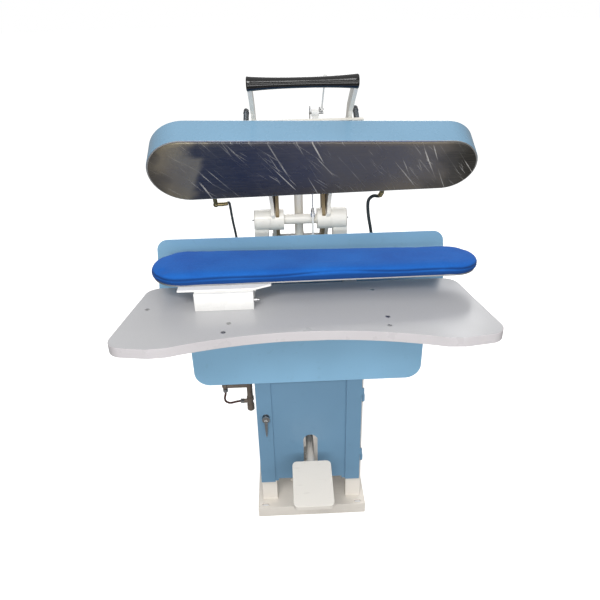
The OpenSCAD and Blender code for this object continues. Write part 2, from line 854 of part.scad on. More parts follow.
module valve_body() {
    color("white") opened() difference() {
        union() {
            translate([0, valve_y, valve_z]) rod_x(valve_x - 12, valve_x + 10, 11);
            translate([valve_x - 10, valve_y + 5, crossbar_z + crossbar_t]) cube([18, 16, 18]);
        }
        translate([0, valve_y, valve_z]) rod_x(0, 100, 4);
    }
}

// Butterfly wing, stem and crank of the valve
module valve_wing() {
    color("silver") opened() {
        translate([0, valve_y, valve_z]) {
            rod_x(valve_x - 20, valve_x + 24, 4 - run);
            for (a = [85, 265]) rotate([a, 0, 0]) translate([valve_x - 19, -6, 0])
                cube([3, 12, 20]);
            rotate([crank_at - 90, 0, 0]) translate([valve_x + 11, -5, 0]) cube([4, 10, crank + 5]);
        }
        translate([0, pull_pin[0], pull_pin[1]]) rod_x(valve_x + 11, valve_x + 26, 2.4);
    }
}

// Pull rod from the valve's crank, running forward to end behind the handle
module pull_rod() {
    color("white") opened() pull_rod_place() difference() {
        union() {
            rod_y(-pull_reach, -4, pull_rod_r);
            rod_x(-3, 3, 7);
        }
        rod_x(-10, 10, 3.6);
    }
}

// ---------- position link beside the pivot ----------

link_x = 33;
link_pin = [pivot_y - 29, pivot_z + 22];

module link_rod() {
    color("silver") translate([link_x, link_pin[0], link_pin[1]]) {
        translate([0, 0, 10]) cylinder(h = 16, r1 = 6.5, r2 = 4);
        translate([0, 0, 26]) cylinder(h = 103.1, r = 2);
        for (s = [-1, 1]) translate([s > 0 ? 3.5 : -6.5, -5, -6]) cube([3, 10, 18]);
        rod_x(-8, 8, 2.5);
    }
}

module link_strip() {
    color("white") difference() {
        translate([link_x - 3, link_pin[0] - 7, 760]) cube([6, 14, link_pin[1] - 760 + 6]);
        translate([link_x, link_pin[0], link_pin[1]]) rod_x(-10, 10, 2.5 + run);
    }
}

// ---------- push rod and pedal ----------

tail_open = open_yz(pivot_y + tail_y, pivot_z + tail_z);

module push_rod() {
    d = tail_open - lever_pin;
    lean = atan2(d[0], d[1]);
    color("silver") translate([yoke_x, lever_pin[0], lever_pin[1]]) rotate([-lean, 0, 0])
        difference() {
            union() {
                translate([0, 0, 14]) cylinder(h = norm(d) - 28, r = 8);
                translate([0, 0, norm(d)]) rod_x(-14, 14, 18);
                rod_x(-12, 12, 15);
                rod_x(-30, 30, 5.5);
            }
            translate([0, 0, norm(d)]) rod_x(-20, 20, 9.5 + run);
        }
}

module pedal_lever() {
    color("antiquewhite") difference() {
        union() {
            translate([0, pedal_y, pedal_z]) rod_x(-36, 36, 25);
            translate([0, 0, pedal_z]) rod_y(pedal_tip, pedal_y - 15, pedal_arm_r);
            translate([0, pedal_y, pedal_z]) rotate([-pedal_deg / 2, 0, 0])
                for (x = [yoke_x - 25, yoke_x + 15]) translate([x, 0, -20])
                    cube([10, lever_b + 30, 40]);
            translate([spring_x, spring_y, spring_top]) cylinder(h = 8, r = 22);
            // pad under the pan
            pan_place() translate([-12, -50, -26]) cube([24, 34, 22]);
        }
        translate([0, pedal_y, pedal_z]) rod_x(-60, 60, pedal_shaft_r + run);
        // slotted eye for the push rod's lower pin
        translate([-60, lever_pin[0] - 4, lever_pin[1] - 12.5]) cube([120, 8, 25]);
        for (y = [-4, 4]) translate([0, lever_pin[0] + y, lever_pin[1]]) rod_x(-60, 60, 12.5);
    }
}

pan_rear = -290;
pan_len = 172;
pan_tilt = 13;
pan_rear_z = 287;

module pan_outline(w, l, r) {
    translate([-w / 2, -l + r]) square([w, l - 2 * r]);
    translate([-w / 2 + r, -l]) square([w - 2 * r, l]);
    for (x = [-w / 2 + r, w / 2 - r], y = [-l + r, -r]) translate([x, y]) circle(r = r, $fn = 48);
}

module pan_place() {
    translate([0, pan_rear, pan_rear_z]) rotate([pan_tilt, 0, 0]) children();
}

module pedal_pan() {
    color("antiquewhite") pan_place()
        difference() {
            translate([0, 0, -22]) linear_extrude(22) pan_outline(pedal_w, pan_len, 16);
            translate([0, 0, -23]) linear_extrude(19) translate([0, -3])
                pan_outline(pedal_w - 6, pan_len - 6, 14);
            translate([-16, -20, -23]) cube([32, 40, 21]);
        }
}

// ---------- door ----------

module door_panel() {
    edge = 52;
    recess = 7;
    color("steelblue") difference() {
        translate([door_x0, door_y - door_t, door_z0])
            cube([door_x1 - door_x0, door_t, door_z1 - door_z0]);
        translate([door_x0 + 2, door_y - door_t + 2, door_z0 + 2])
            cube([edge - 4, door_t, door_z1 - door_z0 - 4]);
        translate([door_x1 - edge + 2, door_y - door_t + 2, door_z0 + 2])
            cube([edge - 4, door_t, door_z1 - door_z0 - 4]);
        translate([door_x0 + edge + 2, door_y - door_t + recess + 2, door_z0 + 2])
            cube([door_x1 - door_x0 - 2 * edge - 4, door_t, door_z1 - door_z0 - 4]);
        translate([door_x0 + edge, door_y - door_t - 1, door_z0 - 1])
            cube([door_x1 - door_x0 - 2 * edge, recess + 1, door_z1 - door_z0 + 2]);
        translate([door_x0 + edge + 12, door_y - door_t - 1, door_z0 - 1])
            cube([door_x1 - door_x0 - 2 * edge - 24, door_t + 2, 11]);
        translate([-slot_w / 2, door_y - door_t - 1, door_z0 - 1])
            cube([slot_w, door_t + 2, slot_top - slot_w / 2 - door_z0 + 1]);
        translate([0, 0, slot_top - slot_w / 2]) rod_y(door_y - door_t - 1, door_y + 1, slot_w / 2);
        translate([lock_x, 0, lock_z]) rod_y(door_y - door_t - 1, door_y, 9.5);
        for (z = hinge_z) translate([hinge_x, hinge_y, z - 3]) cylinder(h = 62, r = 5.5);
    }
    color("steelblue") for (z = hinge_z) difference() {
        union() {
            translate([hinge_x, hinge_y, z + 25.5]) cylinder(h = 28, r = knuckle_r);
            translate([door_x1 - 10, hinge_y - 2.9, z + 25.5]) cube([14.5, 2, 28]);
        }
        translate([hinge_x, hinge_y, z]) cylinder(h = 80, r = 2 + run);
    }
}

lock_x = -152;
lock_z = 455;

module door_lock() {
    color("silver") difference() {
        union() {
            translate([lock_x, 0, lock_z]) rod_y(door_y - door_t - 3, door_y - 1, 9.4);
            translate([lock_x, 0, lock_z]) rod_y(door_y - door_t - 4, door_y - door_t, 12);
        }
        translate([lock_x, 0, lock_z]) rod_y(door_y - door_t - 5, door_y - door_t + 8, 4.1);
    }
    color("silver") translate([lock_x - 6, door_y - 3, lock_z - 8]) cube([12, 2.5, 34]);
}

key_y = door_y - door_t - 4;

module lock_key() {
    color("silver") {
        translate([lock_x, 0, lock_z]) rod_y(key_y - 4, key_y + 8, 4);
        difference() {
            translate([lock_x, 0, lock_z - 4]) rod_y(key_y - 9, key_y - 4, 13);
            translate([lock_x, 0, lock_z - 11]) rod_y(key_y - 10, key_y, 2.6);
        }
    }
}

module key_tag() {
    color("silver") {
        translate([lock_x, 0, lock_z - 11]) rod_y(key_y - 12, key_y - 1, 2.5);
        plate_xz(key_y - 12, key_y - 9.5) polygon([
            [lock_x - 5, lock_z - 7], [lock_x + 5, lock_z - 7], [lock_x + 5, lock_z - 24],
            [lock_x + 2, lock_z - 74], [lock_x - 2, lock_z - 74], [lock_x - 5, lock_z - 24]
        ]);
    }
}

base_frame();
front_posts();
main_columns();
cabinet_panels();
bearing_housings();
bearing_bushes();
grease_nipples();
table_frame();
table_board();
table_edge_band();
table_screws();
apron();
rear_shield();
panel_brackets();
buck_neck();
buck_flange();
buck_chest();
buck_underpad();
buck_pad();
steam_riser();
drip_leg();
steam_inlet_pipe();
steam_fittings();
trap_hose();
pedal_brackets();
pedal_shaft();
return_spring();
hinge_leaves();
hinge_pins();
head_platen();
head_lip();
head_chest();
head_insulation();
head_cover();
head_studs();
stud_sleeves();
stud_springs();
dome_nuts();
yoke_crossbars();
left_arm();
right_arm();
tail_levers();
pivot_shaft();
tail_pin();
handle_grip();
head_ports();
head_hose_left();
head_hose_right();
valve_body();
valve_wing();
pull_rod();
link_rod();
link_strip();
push_rod();
pedal_lever();
pedal_pan();
door_panel();
door_lock();
lock_key();
key_tag();
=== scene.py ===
"""The looks of the steam utility press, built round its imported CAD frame. Metres, +Z up.

Pieces of the head are made in its closed position and then turned open with OPEN.
"""

import json
import math

import bmesh
import bpy
from mathutils import Matrix, Vector, noise


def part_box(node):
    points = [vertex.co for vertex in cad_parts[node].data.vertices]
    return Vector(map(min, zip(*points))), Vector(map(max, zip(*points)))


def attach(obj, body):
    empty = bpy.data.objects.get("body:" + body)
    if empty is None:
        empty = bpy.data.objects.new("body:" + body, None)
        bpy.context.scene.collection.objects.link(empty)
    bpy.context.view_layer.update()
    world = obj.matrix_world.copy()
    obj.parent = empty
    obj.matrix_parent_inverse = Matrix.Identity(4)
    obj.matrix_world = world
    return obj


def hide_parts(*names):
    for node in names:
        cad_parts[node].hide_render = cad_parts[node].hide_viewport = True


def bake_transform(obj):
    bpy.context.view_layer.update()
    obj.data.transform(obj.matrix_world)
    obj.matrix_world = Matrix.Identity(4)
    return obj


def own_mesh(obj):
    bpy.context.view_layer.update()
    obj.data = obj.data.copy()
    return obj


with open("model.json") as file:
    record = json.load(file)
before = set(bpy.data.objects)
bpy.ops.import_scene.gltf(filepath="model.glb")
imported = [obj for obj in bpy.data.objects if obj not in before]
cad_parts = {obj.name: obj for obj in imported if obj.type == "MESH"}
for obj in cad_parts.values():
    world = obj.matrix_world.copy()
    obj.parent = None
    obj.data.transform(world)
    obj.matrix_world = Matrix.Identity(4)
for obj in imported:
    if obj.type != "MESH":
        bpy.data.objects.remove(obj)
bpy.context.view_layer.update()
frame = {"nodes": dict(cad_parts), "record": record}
scene = bpy.context.scene

SLOT_OF = {s["node"]: s["material_slot"] for s in frame["record"]["subparts"]}
BODY_OF = {
    node: body for body, nodes in frame["record"]["behaviour"]["bodies"].items() for node in nodes
}
HEAD_JOINT = next(j for j in frame["record"]["behaviour"]["joints"] if j["name"] == "head_pivot")
PIVOT = Vector(HEAD_JOINT["pos_m"])
OPEN_ANGLE = math.radians(HEAD_JOINT["range_deg"][1])
OPEN = (
    Matrix.Translation(PIVOT) @ Matrix.Rotation(-OPEN_ANGLE, 4, "X") @ Matrix.Translation(-PIVOT)
)

# Outlines of the buck and the head: (left centre, left radius, right centre, right radius)
BUCK = (Vector((-0.373, -0.183)), 0.112, Vector((0.442, -0.194)), 0.091)
HEAD = (Vector((-0.354, -0.186)), 0.121, Vector((0.436, -0.180)), 0.098)


# ---------- camera ----------


def make_camera():
    """A camera at standing eye level in front of the press."""
    eye = (-0.0644, -1.7726, 1.7079)
    yaw, pitch, roll = 0.026, 0.4793, 0.0248
    forward = Vector(
        (math.sin(yaw) * math.cos(pitch), math.cos(yaw) * math.cos(pitch), -math.sin(pitch))
    )
    level = Vector((math.cos(yaw), -math.sin(yaw), 0))
    down = forward.cross(level)
    right = math.cos(roll) * level + math.sin(roll) * down
    up = math.sin(roll) * level - math.cos(roll) * down
    data = bpy.data.cameras.new("camera")
    data.lens = 33.67
    data.sensor_width = 36
    data.shift_y = -0.005
    camera = bpy.data.objects.new("camera", data)
    scene.collection.objects.link(camera)
    axes = Matrix((right, up, -forward)).transposed().to_4x4()
    camera.matrix_world = Matrix.Translation(eye) @ axes
    scene.camera = camera


make_camera()


# ---------- material tools ----------


def srgb(code):
    """A colour written as RRGGBB, as linear RGBA."""
    parts = [int(code[i : i + 2], 16) / 255 for i in (0, 2, 4)]
    return [c / 12.92 if c <= 0.04045 else ((c + 0.055) / 1.055) ** 2.4 for c in parts] + [1]


def shader(name, constants):
    """A new material, its tree and its Principled shader, with values set on the shader's sockets."""
    material = bpy.data.materials.new(name)
    material.use_nodes = True
    bsdf = material.node_tree.nodes["Principled BSDF"]
    for socket, value in constants.items():
        bsdf.inputs[socket].default_value = value
    return material, material.node_tree, bsdf


def node(tree, kind, values=None, links=None, **properties):
    made = tree.nodes.new("ShaderNode" + kind)
    for key, value in properties.items():
        setattr(made, key, value)
    for socket, value in (values or {}).items():
        made.inputs[socket].default_value = value
    for socket, source in (links or {}).items():
        tree.links.new(source, made.inputs[socket])
    return made


def place(tree, scale=(1, 1, 1), rotation=(0, 0, 0)):
    """Object coordinates, turned and stretched."""
    coordinates = node(tree, "TexCoord").outputs["Object"]
    return node(
        tree, "Mapping", {"Scale": scale, "Rotation": rotation}, {"Vector": coordinates}
    ).outputs["Vector"]


def noise_at(tree, vector, scale, detail=3, roughness=0.5, distortion=0):
    values = {"Scale": scale, "Detail": detail, "Roughness": roughness, "Distortion": distortion}
    return node(tree, "TexNoise", values, {"Vector": vector}).outputs["Fac"]


def remap(tree, value, low, high, to_low, to_high):
    values = {"From Min": low, "From Max": high, "To Min": to_low, "To Max": to_high}
    return node(tree, "MapRange", values, {"Value": value}).outputs["Result"]


def mix(tree, factor, a, b):
    """Mixes two colours, each a constant or a socket, by a socket or a constant."""
    made = node(tree, "Mix", data_type="RGBA")
    for index, value in ((0, factor), (6, a), (7, b)):
        if isinstance(value, bpy.types.NodeSocket):
            tree.links.new(value, made.inputs[index])
        else:
            made.inputs[index].default_value = value
    return made.outputs[2]


def math_node(tree, operation, a, b=0.0):
    made = node(tree, "Math", operation=operation)
    for index, value in ((0, a), (1, b)):
        if isinstance(value, bpy.types.NodeSocket):
            tree.links.new(value, made.inputs[index])
        else:
            made.inputs[index].default_value = value
    return made.outputs[0]


def bump(tree, bsdf, height, strength, distance, normal=None):
    links = {"Height": height}
    if normal:
        links["Normal"] = normal
    made = node(tree, "Bump", {"Strength": strength, "Distance": distance}, links)
    tree.links.new(made.outputs["Normal"], bsdf.inputs["Normal"])


def shade(colour, factor):
    return [c * factor for c in colour[:3]] + [1]


# ---------- materials ----------


def paint(name, code, rough=0.32, coat=0.15, grime=0.25, grime_code="6E675C"):
    """Stoved enamel: a faint orange peel, slow colour drift, and a little grime in patches."""
    colour = srgb(code)
    material, tree, bsdf = shader(
        name, {"Coat Weight": coat, "Coat Roughness": 0.12, "Specular IOR Level": 0.45}
    )
    where = place(tree)
    drift = remap(tree, noise_at(tree, where, 3.5, 2), 0.35, 0.65, 0, 1)
    body = mix(tree, drift, shade(colour, 0.94), shade(colour, 1.04))
    spots = remap(tree, noise_at(tree, where, 38, 6, 0.62), 0.60, 0.74, 0, grime)
    base = mix(tree, spots, body, srgb(grime_code))
    tree.links.new(base, bsdf.inputs["Base Color"])
    roughness = remap(tree, noise_at(tree, where, 22, 4), 0.3, 0.7, rough - 0.05, rough + 0.09)
    tree.links.new(roughness, bsdf.inputs["Roughness"])
    bump(tree, bsdf, noise_at(tree, where, 420, 2), 0.12, 0.0006)
    return material


def floor_paint(name, code):
    """The base's paint: as paint(), dustier towards the floor, with scuffs on the top."""
    colour = srgb(code)
    material, tree, bsdf = shader(name, {"Coat Weight": 0.08, "Coat Roughness": 0.25})
    where = place(tree)
    height = node(tree, "SeparateXYZ", links={"Vector": where}).outputs["Z"]
    low = remap(tree, height, 0.0, 0.10, 0.30, 0.0)
    dust = math_node(tree, "MULTIPLY", low, noise_at(tree, where, 26, 6, 0.65))
    body = mix(tree, dust, colour, srgb("8C8272"))
    scuffs = noise_at(tree, place(tree, (1, 7, 7), (0, 0, 0.5)), 16, 5, 0.6)
    body = mix(tree, remap(tree, scuffs, 0.62, 0.72, 0, 0.22), body, srgb("A39A8B"))
    tree.links.new(body, bsdf.inputs["Base Color"])
    tree.links.new(
        remap(tree, noise_at(tree, where, 18, 4), 0.3, 0.7, 0.34, 0.52), bsdf.inputs["Roughness"]
    )
    bump(tree, bsdf, noise_at(tree, where, 380, 2), 0.12, 0.0007)
    return material


def steel(name, code, rough=0.3, stretch=(1, 1, 40), stain="3A342C", stained=0.2):
    """Machined or drawn metal with fine lines and slight staining."""
    material, tree, bsdf = shader(name, {"Metallic": 1.0})
    where = place(tree)
    lines = noise_at(tree, place(tree, stretch), 90, 4, 0.6)
    body = mix(tree, lines, shade(srgb(code), 0.82), shade(srgb(code), 1.06))
    patches = remap(tree, noise_at(tree, where, 55, 6, 0.6), 0.56, 0.72, 0, stained)
    tree.links.new(mix(tree, patches, body, srgb(stain)), bsdf.inputs["Base Color"])
    tree.links.new(remap(tree, lines, 0.2, 0.8, rough - 0.06, rough + 0.1), bsdf.inputs["Roughness"])
    bump(tree, bsdf, lines, 0.08, 0.0004)
    return material


def platen_metal(name):
    """The ironing face: polished, with painted reflections in blue and brown bands along it, and long
    slanting scratches.
    """
    material, tree, bsdf = shader(name, {"Metallic": 0.45})
    flat = place(tree, rotation=(OPEN_ANGLE, 0, 0))
    axes = node(tree, "SeparateXYZ", links={"Vector": flat})
    along = axes.outputs["X"]
    clouds = noise_at(tree, flat, 5.5, 3, 0.5, 0.6)
    position = math_node(tree, "ADD", along, remap(tree, clouds, 0.3, 0.7, -0.05, 0.05))
    painted_reflection_bands = node(tree, "ValToRGB", links={"Fac": remap(tree, position, -0.48, 0.54, 0, 1)})
    # painted reflections: the dark and light bands along the plate stand for the surroundings that the
    # polished face mirrors
    stops = [
        (0.00, "54504A"),
        (0.05, "857C6A"),
        (0.12, "8E8672"),
        (0.17, "3A3E48"),
        (0.30, "363A48"),
        (0.46, "504F56"),
        (0.62, "67625E"),
        (0.84, "7C7468"),
        (0.93, "4A4844"),
        (1.00, "2C2B28"),
    ]
    ramp = painted_reflection_bands.color_ramp
    ramp.interpolation = "EASE"
    for index, (at, code) in enumerate(stops):
        stop = ramp.elements[index] if index < 2 else ramp.elements.new(at)
        stop.position = at
        stop.color = srgb(code)
    streaks = noise_at(tree, place(tree, (3, 60, 60), (OPEN_ANGLE, 0, 0)), 6, 4, 0.55)
    body = mix(
        tree, remap(tree, streaks, 0.35, 0.75, 0, 0.35), painted_reflection_bands.outputs["Color"], srgb("7A736A")
    )
    marks = None
    for turn, scale, cut in ((0.95, 5.0, 0.66), (0.72, 7.0, 0.67), (1.15, 4.0, 0.68)):
        turned = node(tree, "Mapping", {"Rotation": (0, 0, -turn)}, {"Vector": flat})
        turned = node(
            tree, "Mapping", {"Scale": (1, 42, 1)}, {"Vector": turned.outputs["Vector"]}
        ).outputs["Vector"]
        lines = noise_at(tree, turned, scale, 2.5, 0.5, 0.35)
        sharp = remap(tree, lines, cut, cut + 0.035, 0, 1)
        marks = sharp if marks is None else math_node(tree, "MAXIMUM", marks, sharp)
    fade = remap(tree, noise_at(tree, flat, 9, 2), 0.42, 0.62, 0.08, 0.85)
    marks = math_node(tree, "MULTIPLY", marks, fade)
    tree.links.new(mix(tree, marks, body, srgb("D2CFC8")), bsdf.inputs["Base Color"])
    polish = remap(tree, noise_at(tree, flat, 12, 4), 0.3, 0.7, 0.20, 0.36)
    tree.links.new(math_node(tree, "ADD", polish, marks), bsdf.inputs["Roughness"])
    bump(tree, bsdf, marks, 0.15, 0.0003)
    return material


def woven(name, code, low_code):
    """Close-woven press cloth: a plain weave, a slight sheen, faint mottling, and painted shade on the
    sides.
    """
    pitch = 0.0011
    material, tree, bsdf = shader(
        name,
        {
            "Roughness": 0.88,
            "Sheen Weight": 0.08,
            "Sheen Roughness": 0.4,
            "Specular IOR Level": 0.25,
        },
    )
    where = place(tree)
    threads = []
    for axis in ("X", "Y"):
        threads.append(
            node(
                tree,
                "TexWave",
                {"Scale": 1 / pitch / (2 * math.pi), "Distortion": 0.6, "Detail": 1},
                {"Vector": where},
                bands_direction=axis,
                wave_profile="SIN",
            ).outputs["Fac"]
        )
    weave = math_node(tree, "MULTIPLY", threads[0], threads[1])
    mottle = noise_at(tree, where, 240, 4, 0.7)
    slow = remap(tree, noise_at(tree, where, 7, 3), 0.3, 0.7, 0, 1)
    body = mix(tree, slow, srgb(low_code), srgb(code))
    body = mix(tree, remap(tree, mottle, 0.35, 0.75, 0, 0.30), body, shade(srgb(code), 1.5))
    body = mix(tree, remap(tree, weave, 0, 1, 0.22, 0), body, shade(srgb(low_code), 0.6))
    # painted shade: faces whose normals turn away from straight up are darkened towards a dim copy of
    # the low colour
    facing = node(tree, "NewGeometry").outputs["Normal"]
    rise = node(tree, "SeparateXYZ", links={"Vector": facing}).outputs["Z"]
    sides = remap(tree, rise, 0.15, 0.85, 0.80, 0)
    body = mix(tree, sides, body, shade(srgb(low_code), 0.35))
    tree.links.new(body, bsdf.inputs["Base Color"])
    creases = noise_at(tree, place(tree, (1, 3, 3)), 11, 3, 0.5)
    first = node(tree, "Bump", {"Strength": 0.12, "Distance": 0.006}, {"Height": creases})
    bump(tree, bsdf, weave, 0.35, 0.0005, first.outputs["Normal"])
    return material


def felt(name, code):
    material, tree, bsdf = shader(name, {"Roughness": 0.95, "Sheen Weight": 0.3})
    where = place(tree)
    fibres = noise_at(tree, where, 320, 6, 0.75)
    tree.links.new(
        mix(tree, fibres, shade(srgb(code), 0.7), shade(srgb(code), 1.1)), bsdf.inputs["Base Color"]
    )
    bump(tree, bsdf, fibres, 0.5, 0.0012)
    return material


def laminate(name, code):
    """Pale grey table laminate: satin, with a fine speckle and soft wear marks."""
    material, tree, bsdf = shader(
        name, {"Coat Weight": 0.25, "Coat Roughness": 0.22, "Specular IOR Level": 0.5}
    )
    where = place(tree)
    speckle = remap(tree, noise_at(tree, where, 520, 3, 0.7), 0.3, 0.7, 0, 1)
    body = mix(tree, speckle, shade(srgb(code), 0.95), shade(srgb(code), 1.04))
    wear = remap(tree, noise_at(tree, place(tree, (1, 2.4, 1)), 4.2, 4), 0.45, 0.75, 0, 0.18)
    tree.links.new(mix(tree, wear, body, shade(srgb(code), 1.12)), bsdf.inputs["Base Color"])
    tree.links.new(
        remap(tree, noise_at(tree, where, 6, 4), 0.3, 0.7, 0.26, 0.42), bsdf.inputs["Roughness"]
    )
    bump(tree, bsdf, noise_at(tree, where, 650, 2), 0.05, 0.0003)
    return material


def gloss(name, code, rough=0.12, coat=0.6):
    """Moulded gloss plastic with faint handling marks."""
    material, tree, bsdf = shader(name, {"Coat Weight": coat, "Coat Roughness": 0.05})
    where = place(tree)
    marks = noise_at(tree, where, 60, 5, 0.6)
    tree.links.new(
        mix(tree, marks, srgb(code), shade(srgb(code), 1.5)), bsdf.inputs["Base Color"]
    )
    tree.links.new(remap(tree, marks, 0.3, 0.7, rough, rough + 0.1), bsdf.inputs["Roughness"])
    bump(tree, bsdf, noise_at(tree, where, 90, 2), 0.015, 0.0003)
    return material


def braided(name, code, high_code):
    """Hose cover: a fine diagonal braid."""
    material, tree, bsdf = shader(name, {"Metallic": 0.25, "Specular IOR Level": 0.4})
    threads = []
    for turn in (0.8, -0.8):
        threads.append(
            node(
                tree,
                "TexWave",
                {"Scale": 190, "Distortion": 0.4},
                {"Vector": place(tree, rotation=(0.3, turn, turn))},
                bands_direction="Z",
            ).outputs["Fac"]
        )
    weave = math_node(tree, "MULTIPLY", threads[0], threads[1])
    tree.links.new(mix(tree, weave, srgb(code), srgb(high_code)), bsdf.inputs["Base Color"])
    tree.links.new(remap(tree, weave, 0, 1, 0.6, 0.4), bsdf.inputs["Roughness"])
    bump(tree, bsdf, weave, 0.5, 0.0006)
    return material


FINISHES = {
    "cream_paint": floor_paint("cream_paint", "E8E2D9"),
    "ivory_paint": paint("ivory_paint", "FAF5EB", 0.30, 0.2),
    "white_paint": paint("white_paint", "F6F5F2", 0.28, 0.3, 0.03, "C8C4BC"),
    "cabinet_blue": paint("cabinet_blue", "6A8FAB", 0.36, 0.12, 0.12, "48606F"),
    "shield_blue": paint("shield_blue", "88B6D5", 0.42, 0.1, 0.14, "5A7482"),
    "head_blue": paint("head_blue", "7AA4C1", 0.26, 0.35, 0.10, "557384"),
    # tan_paint: painted shade; the olive brown that the arm plates' inner faces show in shadow, given
    # to the tail plates as their colour
    "tan_paint": paint("tan_paint", "8F7B58", 0.45, 0.05, 0.3, "5A4A30"),
    "pipe_red": paint("pipe_red", "7C6F64", 0.45, 0.0, 0.55, "4A342A"),
    "dark_paint": paint("dark_paint", "24282E", 0.22, 0.4, 0.15, "101010"),
    "laminate": laminate("laminate", "BCBCBE"),
    "edge_white": paint("edge_white", "C8C4C6", 0.30, 0.1, 0.04, "A8A49E"),
    "buck_cover": woven("buck_cover", "1E6CC6", "1658B0"),
    "underpad_felt": felt("underpad_felt", "C9B99A"),
    "insulation_felt": felt("insulation_felt", "C6B47A"),
    "steel": steel("steel", "B4B4B4", 0.28),
    "platen_steel": platen_metal("platen_steel"),
    "lip_steel": steel("lip_steel", "D8D8D8", 0.2, (40, 1, 1), "8A8478", 0.3),
    "aluminium": steel("aluminium", "B8B8BA", 0.45, (1, 1, 1), "77736C", 0.25),
    "brass": steel("brass", "A09068", 0.36, (1, 1, 20), "5C5034", 0.5),
    "hose_braid": braided("hose_braid", "23282A", "5A6468"),
    "trap_hose": braided("trap_hose", "3A1E18", "7C5248"),
    "grip_black": gloss("grip_black", "030303", 0.10, 0.25),
    "spring_steel": steel("spring_steel", "8C9298", 0.32, (1, 1, 1), "1E1E1E", 0.4),
}


# ---------- mesh tools ----------


def smooth_shading(mesh, degrees=32):
    mesh.polygons.foreach_set("use_smooth", [True] * len(mesh.polygons))
    mesh.set_sharp_from_angle(angle=math.radians(degrees))


def as_piece(name, mesh, body, slot, replaces=(), degrees=32):
    """A finished mesh as a piece that rides on a body."""
    smooth_shading(mesh, degrees)
    piece = bpy.data.objects.new(name, mesh)
    scene.collection.objects.link(piece)
    mesh.materials.append(FINISHES[slot])
    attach(piece, body)
    if replaces:
        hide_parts(*replaces)
    return piece


def from_bmesh(name, made, move=None):
    if move is not None:
        bmesh.ops.transform(made, matrix=move, verts=made.verts)
    bmesh.ops.recalc_face_normals(made, faces=made.faces)
    mesh = bpy.data.meshes.new(name)
    made.to_mesh(mesh)
    made.free()
    return mesh


def clean_copy(name):
    """A CAD node's mesh as a bmesh with whole flat faces."""
    made = bmesh.new()
    made.from_mesh(frame["nodes"][name].data)
    bmesh.ops.remove_doubles(made, verts=made.verts, dist=2e-5)
    bmesh.ops.dissolve_limit(
        made, angle_limit=math.radians(0.4), verts=made.verts, edges=made.edges
    )
    return made


def softened(name, width, segments):
    """A CAD node with its sharp edges rounded off."""
    mesh = from_bmesh(name + "_softened", clean_copy(name))
    mesh.polygons.foreach_set("use_smooth", [True] * len(mesh.polygons))
    holder = bpy.data.objects.new(name + "_holder", mesh)
    scene.collection.objects.link(holder)
    bevel = holder.modifiers.new("bevel", "BEVEL")
    bevel.width = width
    bevel.segments = segments
    bevel.limit_method = "ANGLE"
    bevel.angle_limit = math.radians(38)
    bevel.use_clamp_overlap = True
    bevel.miter_outer = "MITER_ARC"
    holder.modifiers.new("flat faces", "WEIGHTED_NORMAL")
    rounded = bpy.data.meshes.new_from_object(
        holder.evaluated_get(bpy.context.evaluated_depsgraph_get())
    )
    bpy.data.objects.remove(holder)
    rounded.materials.clear()
    as_piece(name + "_soft", rounded, BODY_OF[name], SLOT_OF[name], [name], 50)


def solids(name, move=Matrix.Identity(4)):
    """The corners of each separate solid of a node, after a move."""
    made = bmesh.new()
    made.from_mesh(frame["nodes"][name].data)
    bmesh.ops.remove_doubles(made, verts=made.verts, dist=2e-5)
    made.transform(move)
    made.verts.ensure_lookup_table()
    seen, found = set(), []
    for start in made.verts:
        if start.index in seen:
            continue
        seen.add(start.index)
        stack, group = [start], []
        while stack:
            here = stack.pop()
            group.append(here.co.copy())
            for edge in here.link_edges:
                other = edge.other_vert(here)
                if other.index not in seen:
                    seen.add(other.index)
                    stack.append(other)
        low = Vector([min(c[i] for c in group) for i in range(3)])
        high = Vector([max(c[i] for c in group) for i in range(3)])
        found.append((low, high))
    made.free()
    return found


def egg(outline, inset, steps=64):
    """Points round an outline's two end circles and their common tangents, drawn in by inset."""
    a, ra, b, rb = outline
    turn = math.atan2(b.y - a.y, b.x - a.x)
    lean = math.acos((ra - rb) / (b - a).length)
    points = []
    for centre, radius, first, span in (
        (a, ra, turn + lean, 2 * math.pi - 2 * lean),
        (b, rb, turn - lean, 2 * lean),
    ):
        for i in range(steps + 1):
            t = first + span * i / steps
            points.append(centre + (radius - inset) * Vector((math.cos(t), math.sin(t))))
    return points


def loft(rings):
    """A bmesh through rings of points, with its two end rings filled."""
    made = bmesh.new()
    loops = [[made.verts.new(p) for p in ring] for ring in rings]
    count = len(loops[0])
    for low, high in zip(loops, loops[1:]):
        for i in range(count):
            j = (i + 1) % count
            made.faces.new((low[i], low[j], high[j], high[i]))
    made.faces.new(list(reversed(loops[0])))
    made.faces.new(loops[-1])
    return made


def egg_loft(outline, profile, steps=64):
    """A solid whose section is a list of (inset, height), swept round an outline."""
    return loft(
        [[Vector((p.x, p.y, z)) for p in egg(outline, inset, steps)] for inset, z in profile]
    )


def arc(radius, first, last, steps):
    """Points (u, v) along an arc about (0, 0), from one angle in degrees to another."""
    turns = [math.radians(first + (last - first) * i / steps) for i in range(steps + 1)]
    return [(radius * math.cos(turn), radius * math.sin(turn)) for turn in turns]


def lathe(profile, segments=48):
    """A solid turned about Z from a list of (radius, height); radius 0 closes an end."""
    made = bmesh.new()
    loops = []
    for radius, height in profile:
        if radius < 1e-7:
            loops.append([made.verts.new((0, 0, height))])
            continue
        loops.append(
            [
                made.verts.new(
                    (
                        radius * math.cos(2 * math.pi * i / segments),
                        radius * math.sin(2 * math.pi * i / segments),
                        height,
                    )
                )
                for i in range(segments)
            ]
        )
    for low, high in zip(loops, loops[1:]):
        for i in range(segments):
            j = (i + 1) % segments
            if len(low) == 1:
                made.faces.new((low[0], high[j], high[i]))
            elif len(high) == 1:
                made.faces.new((low[i], low[j], high[0]))
            else:
                made.faces.new((low[i], low[j], high[j], high[i]))
    return made


